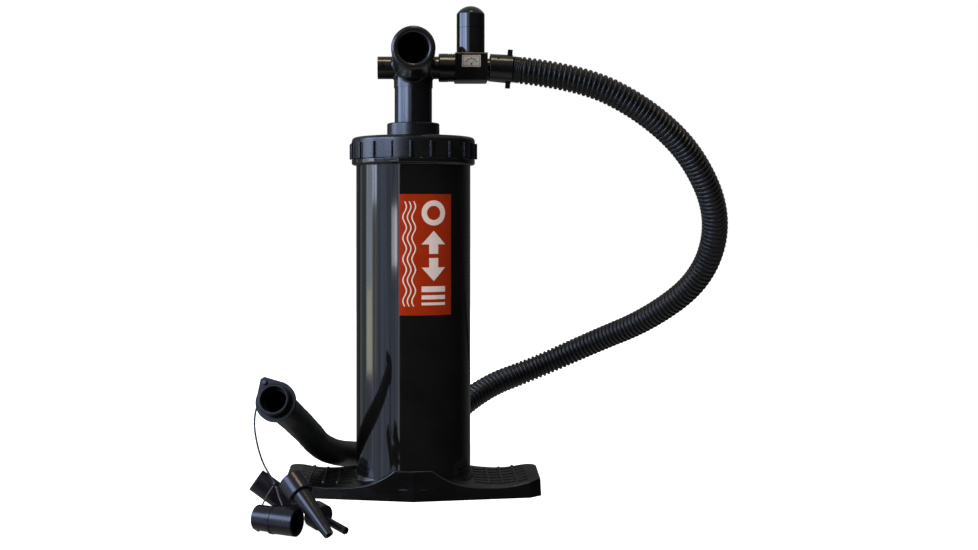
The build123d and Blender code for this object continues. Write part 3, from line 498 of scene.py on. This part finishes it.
def ribbed_hose(line):
    """The ribbed hose, a real tube with a bore and a groove between each two ribs."""
    path = Path(line)
    groove_r = HOSE_R - RIB_DEPTH
    outside = [(0.0, HOSE_R - FINE_INSET)]
    at = FINE_INSET
    for _ in range(FINE_RIBS):
        outside += rib(at, FINE_PITCH, HOSE_R - FINE_INSET, FINE_DEPTH)
        at += FINE_PITCH
    room = path.length - at - RIB_MARGIN
    count = int(room / RIB_PITCH)
    pitch = room / count
    for i in range(count):
        outside += rib(at + i * pitch, pitch, HOSE_R, RIB_DEPTH)
    outside += [(path.length - 0.6 * RIB_MARGIN, groove_r), (path.length, groove_r)]
    inside = [(path.length * k / BORE_STEPS, HOSE_BORE_R) for k in range(BORE_STEPS, -1, -1)]
    vertices, faces = tube(path, outside + inside, HOSE_SIDES)
    hose = piece("ribbed_hose", vertices, faces, hose_plastic, "pump_handle")
    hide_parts("hose")


def smooth_pipe(line):
    """The smooth pipe, with a faint swelling where it was drawn off its core."""
    path = Path(line)
    outside = []
    for k in range(PIPE_STEPS + 1):
        at = path.length * k / PIPE_STEPS
        swell = 0.1 * MM * sin(2 * pi * at / 0.047) + 0.06 * MM * sin(2 * pi * at / 0.019)
        outside.append((at, PIPE_R + swell))
    steps = PIPE_STEPS // 2
    inside = [(path.length * k / steps, HOSE_BORE_R) for k in range(steps, -1, -1)]
    vertices, faces = tube(path, outside + inside, HOSE_SIDES)
    pipe = piece("smooth_pipe", vertices, faces, pipe_plastic, "pump_handle")
    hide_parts("hose_tail")


def hose_and_pipe():
    line = read_spline("hose_route", HOSE_ROUTE)
    joint = min(range(len(line)), key=lambda i: (line[i] - TAIL_START).length)
    ribbed_hose(line[: joint + 1])
    smooth_pipe(line[joint:])


# ---------------------------------------------------------------- the tether
TETHER_ROUTE = [
    (-0.1318, -0.1309, 0.1238),
    (-0.1305, -0.1227, 0.1205),
    (-0.1355, -0.1185, 0.112),
    (-0.1405, -0.1235, 0.101),
    (-0.1415, -0.1315, 0.0875),
    (-0.1385, -0.1375, 0.073),
    (-0.134, -0.1415, 0.059),
    (-0.128, -0.1466, 0.0485),
    (-0.1213, -0.1515, 0.0406),
]
TETHER_R = 0.85 * MM
TETHER_STEPS, TETHER_SIDES = 200, 14


def tether():
    line = read_spline("tether_route", TETHER_ROUTE)
    path = Path(line)
    outside = [(path.length * k / TETHER_STEPS, TETHER_R) for k in range(TETHER_STEPS + 1)]
    vertices, faces = capped_tube(path, outside, TETHER_SIDES)
    cord = piece("tether_line", vertices, faces, adapter, "pump_handle", sharp=60)
    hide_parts("tether")


# ---------------------------------------------------------------- the relief valve's spring
SPRING_TURNS = 6
SPRING_WIRE_R = 0.65 * MM
SPRING_STEPS = 40  # stations in one turn
SPRING_SIDES = 12


def relief_spring():
    """The spring's coils, a fixed helix wound to fill the box of the CAD spring."""
    low, high = (Vector(corner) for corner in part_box("relief_spring"))
    middle = (low + high) / 2
    coil_r = (high.x - low.x) / 2 - SPRING_WIRE_R
    steps = SPRING_TURNS * SPRING_STEPS
    rise = (high.z - low.z - 2 * SPRING_WIRE_R) / steps
    line = []
    for k in range(steps + 1):
        turn = 2 * pi * k / SPRING_STEPS
        across = Vector((coil_r * cos(turn), coil_r * sin(turn), 0))
        line.append(Vector((middle.x, middle.y, low.z + SPRING_WIRE_R + rise * k)) + across)
    path = Path(line)
    stations = [(path.length * k / steps, SPRING_WIRE_R) for k in range(steps + 1)]
    vertices, faces = capped_tube(path, stations, SPRING_SIDES)
    spring = piece("spring_coils", vertices, faces, steel, "pump_handle")
    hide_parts("relief_spring")
    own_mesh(spring)


# ---------------------------------------------------------------- printed shapes
def solid_strip(vertices, faces, left, right, wrap, low, high):
    """A thin raised strip between two lines of the same number of points, put in place by wrap."""
    base = len(vertices)
    for (ul, vl), (ur, vr) in zip(left, right):
        vertices += [wrap(ul, vl, low), wrap(ul, vl, high), wrap(ur, vr, high), wrap(ur, vr, low)]
    last = len(left) - 1
    for i in range(last):
        a, b = base + 4 * i, base + 4 * (i + 1)
        faces += [(a + k, a + (k + 1) % 4, b + (k + 1) % 4, b + k) for k in range(4)]
    end = base + 4 * last
    faces += [(base, base + 3, base + 2, base + 1), (end, end + 1, end + 2, end + 3)]


def arc_strip(u, v, inner_r, outer_r, start=0, end=360, count=64):
    """The inner and outer line of a ring or an arc about u, v; angles in degrees."""
    turns = [radians(start + (end - start) * k / count) for k in range(count + 1)]
    return (
        [(u + inner_r * cos(t), v + inner_r * sin(t)) for t in turns],
        [(u + outer_r * cos(t), v + outer_r * sin(t)) for t in turns],
    )


def bar_strip(u0, u1, v0, v1, count=16):
    """A bar, divided along u so that it can follow a curved surface."""
    places = [u0 + (u1 - u0) * k / count for k in range(count + 1)]
    return [(u, v0) for u in places], [(u, v1) for u in places]


def arrow_strips(u, v_tip, v_base, half, head, shaft, count=14):
    """A broad arrowhead and its shaft, pointing from v_base to v_tip."""
    way = 1 if v_tip > v_base else -1
    neck = v_tip - way * head
    shares = [-1 + 2 * k / count for k in range(count + 1)]
    slopes = [(u + half * share, v_tip - way * head * abs(share)) for share in shares]
    back = [(u + half * share, neck) for share in shares]
    stem = bar_strip(u - shaft, u + shaft, min(neck, v_base), max(neck, v_base), 6)
    return [(slopes, back), stem]


def wave_strip(u, v0, v1, half, swing, pitch, count=120):
    """A thin line that waves along v."""
    left, right = [], []
    for k in range(count + 1):
        v = v0 + (v1 - v0) * k / count
        middle = u + swing * sin(2 * pi * (v - v0) / pitch)
        left.append((middle - half, v))
        right.append((middle + half, v))
    return left, right


LABEL_R = 57.02 * MM
LABEL_FILM = 0.18 * MM
LABEL_INK = 0.24 * MM
LABEL_START = radians(-13.7)
LABEL_TURN = radians(53.0)
LABEL_LOW, LABEL_HIGH = 176.8 * MM, 292.4 * MM
LABEL_ROWS, LABEL_COLUMNS = 10, 48
# The label's marks, in millimetres from its top left corner.
MARK_U, MARK_HALF = 33.5, 12.0
RING_V, RING_HOLE_R = 18, 6.8
ARROW_HEAD, ARROW_SHAFT = 13.0, 4.6
ARROWS_V = [(35.0, 57.0), (83.0, 61.0)]  # tip and base
BARS_V = [(88, 5.4), (96.4, 4.0), (103.4, 2.6)]  # top edge and thickness
WAVES_U = [5.4, 9.7, 14.0]
WAVE_V = (7, 107)
WAVE_HALF, WAVE_SWING, WAVE_PITCH = 0.62, 1.7, 20


def on_barrel(u, v, raise_by):
    """Millimetres from the label's top left corner, wrapped round the barrel."""
    angle = LABEL_START + u * MM / LABEL_R
    radius = LABEL_R + raise_by
    return Vector((radius * sin(angle), -radius * cos(angle), LABEL_HIGH - v * MM))


def barrel_label():
    """An orange film with plain printed marks: waves for air, and an arrow for each stroke."""
    width = LABEL_TURN * LABEL_R / MM
    height = (LABEL_HIGH - LABEL_LOW) / MM
    vertices, faces = [], []
    for k in range(LABEL_ROWS):
        top, bottom = height * k / LABEL_ROWS, height * (k + 1) / LABEL_ROWS
        strip = bar_strip(0, width, top, bottom, LABEL_COLUMNS)
        solid_strip(vertices, faces, *strip, on_barrel, 0, LABEL_FILM)
    film = piece("label_film", vertices, faces, orange, "pump_body", sharp=60)
    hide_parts("barrel_label")

    shapes = [arc_strip(MARK_U, RING_V, RING_HOLE_R, MARK_HALF)]
    for tip, base in ARROWS_V:
        shapes += arrow_strips(MARK_U, tip, base, MARK_HALF, ARROW_HEAD, ARROW_SHAFT)
    shapes += [bar_strip(MARK_U - MARK_HALF, MARK_U + MARK_HALF, v, v + thick) for v, thick in BARS_V]
    shapes += [wave_strip(u, *WAVE_V, WAVE_HALF, WAVE_SWING, WAVE_PITCH) for u in WAVES_U]
    vertices, faces = [], []
    for left, right in shapes:
        solid_strip(vertices, faces, left, right, on_barrel, LABEL_FILM - 0.02 * MM, LABEL_INK)
    piece("label_print", vertices, faces, white_ink, "pump_body", sharp=60)


def on_block(u, v, raise_by):
    """Millimetres from the sticker's centre, on the front of the relief valve's block."""
    low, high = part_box("relief_sticker")
    return Vector(((low[0] + high[0]) / 2 + u * MM, low[1] - raise_by, (low[2] + high[2]) / 2 + v * MM))


# The sticker's marks, in millimetres from its middle.
BORDER_U, BORDER_V, BORDER_LINE = 8.3, 4.9, 0.4
DIAL_V = -3.0
DIAL_R = (4.9, 5.5)
TICK_R = (5.4, 6.7)
TICKS = (20, 55, 90, 125, 160)
POINTER_R, POINTER_TURN = (0.6, 4.0), (48, 56)
HUB_R = (0.0001, 1.0)


def sticker_marks():
    """A plain dial mark: a border, a scale of ticks and a pointer."""
    sides = [(-BORDER_U, -BORDER_U + BORDER_LINE), (BORDER_U - BORDER_LINE, BORDER_U)]
    rows = [(-BORDER_V, -BORDER_V + BORDER_LINE), (BORDER_V - BORDER_LINE, BORDER_V)]
    shapes = [bar_strip(-BORDER_U, BORDER_U, *row, 2) for row in rows]
    shapes += [bar_strip(*side, -BORDER_V, BORDER_V, 2) for side in sides]
    shapes.append(arc_strip(0, DIAL_V, *DIAL_R, TICKS[0], TICKS[-1], 32))
    for turn in TICKS:
        shapes.append(arc_strip(0, DIAL_V, *TICK_R, turn - 3, turn + 3, 3))
    shapes.append(arc_strip(0, DIAL_V, *POINTER_R, *POINTER_TURN, 3))
    shapes.append(arc_strip(0, DIAL_V, *HUB_R, 0, 360, 24))
    vertices, faces = [], []
    for left, right in shapes:
        solid_strip(vertices, faces, left, right, on_block, 0.005 * MM, 0.04 * MM)
    piece("sticker_print", vertices, faces, dark_ink, "pump_handle", sharp=60)


# ---------------------------------------------------------------- floor and light
FLOOR_GLOW = 1.0  # keeps the floor as white as the backdrop up to the horizon
FLOOR_REACH = 8.0


def floor():
    material, tree, shader, place = new_material("pale_floor")
    cloud = noise(tree, place, 1.4, 3)
    color = ramp(tree, cloud, (0.3, (0.84, 0.84, 0.85)), (0.7, (0.88, 0.88, 0.89)))
    tree.links.new(color, shader.inputs["Base Color"])
    shader.inputs["Roughness"].default_value = 0.9
    shader.inputs["Specular IOR Level"].default_value = 0.1
    shader.inputs["Emission Color"].default_value = (1, 1, 1, 1)
    shader.inputs["Emission Strength"].default_value = FLOOR_GLOW
    mesh = bpy.data.meshes.new("floor")
    corners = [(x * FLOOR_REACH, y * FLOOR_REACH, 0) for x, y in ((-1, -1), (1, -1), (1, 1), (-1, 1))]
    mesh.from_pydata(corners, [], [(0, 1, 2, 3)])
    mesh.materials.append(material)
    obj = link("floor", mesh)
    obj.visible_glossy = False
    obj.visible_diffuse = False


CARD_DISTANCE = 1.7
CARD_STEP = 0.01  # each card is that much nearer, so that it hides what is behind it
CARD_COLUMNS = 24
# Each studio card: its turns to the left of the front in degrees, its lowest and highest edge, its
# colour and its strength.
CARDS = {
    "card_low_wall": ((27, 76), (-0.75, 0.465), (0.62, 0.72, 1.0), 0.95),
    "card_low_patch": ((31, 43), (0.15, 0.29), (0.88, 0.93, 1.0), 7.5),
    "card_low_edge": ((27, 29), (-0.75, 0.465), (0.9, 0.9, 1.0), 2.2),
    "card_window": ((77, 88), (0.3, 1.0), (0.66, 0.76, 1.0), 6.0),
    "card_window_middle": ((77, 89), (-0.1, 0.3), (0.95, 1.0, 0.9), 0.95),
    "card_window_low": ((77, 106), (-0.75, -0.1), (0.7, 0.78, 1.0), 0.8),
    "card_side": ((89, 106), (0.1, 0.7), (0.72, 0.82, 1.0), 3.4),
    "card_side_middle": ((89, 106), (-0.1, 0.1), (1.0, 1.0, 0.86), 3.6),
    "card_rim": ((106, 124), (-0.75, 0.6), (0.75, 0.88, 1.0), 0.35),
    "card_back": ((124, 132), (-0.75, 0.6), (0.85, 0.92, 1.0), 0.4),
    "card_high_wall": ((30, 104), (0.465, 1.3), (0.5, 0.64, 1.0), 8.7),
    "card_high_edge": ((11, 30), (0.465, 1.3), (0.66, 0.74, 1.0), 1.5),
}


def card(name, reach, turns, heights, color, strength):
    """A curved studio card that shows only in reflections, with faint upright streaks."""
    vertices, faces = [], []
    for k in range(CARD_COLUMNS + 1):
        turn = radians(turns[0] + (turns[1] - turns[0]) * k / CARD_COLUMNS)
        for z in heights:
            vertices.append((-reach * sin(turn), -reach * cos(turn), z))
        if k:
            faces.append((2 * k - 2, 2 * k, 2 * k + 1, 2 * k - 1))
    mesh = bpy.data.meshes.new(name)
    mesh.from_pydata(vertices, [], faces)
    material = bpy.data.materials.new(name)
    material.use_nodes = True
    tree = material.node_tree
    tree.nodes.remove(tree.nodes["Principled BSDF"])
    place = tree.nodes.new("ShaderNodeTexCoord").outputs["Object"]
    streaks = noise(tree, stretched(tree, place, (7, 7, 0.7)), 1.0, 4, 0.65)
    emission = tree.nodes.new("ShaderNodeEmission")
    emission.inputs["Color"].default_value = (*color, 1)
    glow = remap(tree, streaks, 0.34, 0.66, 0.45 * strength, 1.5 * strength)
    tree.links.new(glow, emission.inputs["Strength"])
    tree.links.new(emission.outputs["Emission"], tree.nodes["Material Output"].inputs["Surface"])
    material.cycles.emission_sampling = "NONE"
    mesh.materials.append(material)
    obj = link(name, mesh)
    obj.visible_camera = False
    obj.visible_diffuse = False
    obj.visible_shadow = False


LIGHT_AIM = Vector((0, 0, 0.2))


def soft_light(name, place, size, power, color=(1, 1, 1), in_gloss=False):
    """A square soft light that faces the barrel's lower half."""
    data = bpy.data.lights.new(name, "AREA")
    data.size = size
    data.energy = power
    data.color = color
    light = link(name, data)
    light.location = place
    light.rotation_euler = (LIGHT_AIM - Vector(place)).to_track_quat("-Z", "Y").to_euler()
    light.visible_camera = False
    light.visible_glossy = in_gloss


def backdrop():
    """White behind the object for the camera, and a dim surround for everything else."""
    world = bpy.data.worlds.new("surround")
    world.use_nodes = True
    bpy.context.scene.world = world
    tree = world.node_tree
    background = tree.nodes["Background"]
    rays = tree.nodes.new("ShaderNodeLightPath").outputs
    way = tree.nodes.new("ShaderNodeTexCoord").outputs["Generated"]
    parts = tree.nodes.new("ShaderNodeSeparateXYZ")
    tree.links.new(way, parts.inputs["Vector"])
    behind = remap(tree, parts.outputs["Y"], 0.35, 0.95, 0.012, 0.08)
    below = remap(tree, parts.outputs["Z"], -0.75, -0.5, 0.35, 0.0)
    above = remap(tree, parts.outputs["Z"], 0.2, 0.55, 0.0, 0.3)
    seen_in_gloss = math_node(tree, "ADD", behind, math_node(tree, "ADD", below, above))
    in_gloss = math_node(tree, "MULTIPLY", rays["Is Glossy Ray"], seen_in_gloss)
    in_diffuse = math_node(tree, "MULTIPLY", rays["Is Diffuse Ray"], 0.14)
    seen = math_node(tree, "ADD", rays["Is Camera Ray"], math_node(tree, "ADD", in_gloss, in_diffuse))
    tree.links.new(seen, background.inputs["Strength"])
    background.inputs["Color"].default_value = (1, 1, 1, 1)


def lights():
    for order, (name, looks) in enumerate(CARDS.items()):
        card(name, CARD_DISTANCE - order * CARD_STEP, *looks)
    soft_light("key", (-1.1, -1.5, 0.9), 0.9, 30, (1.0, 0.98, 0.96))
    soft_light("fill", (1.2, -1.0, 0.7), 1.2, 1)
    soft_light("overhead", (0.1, 0.1, 2.4), 2.2, 14)
    soft_light("warm_top", (0.07, -0.45, 1.9), 0.4, 6, (1.0, 0.76, 0.48), in_gloss=True)
    soft_light("rear", (0.5, 1.9, 0.9), 1.0, 10, (0.97, 0.98, 1.0))


# ---------------------------------------------------------------- the scene
add_camera()
hose_and_pipe()
tether()
relief_spring()
finish_cad_nodes()
barrel_label()
sticker_marks()
floor()
backdrop()
lights()
bpy.context.scene.view_settings.view_transform = "Standard"
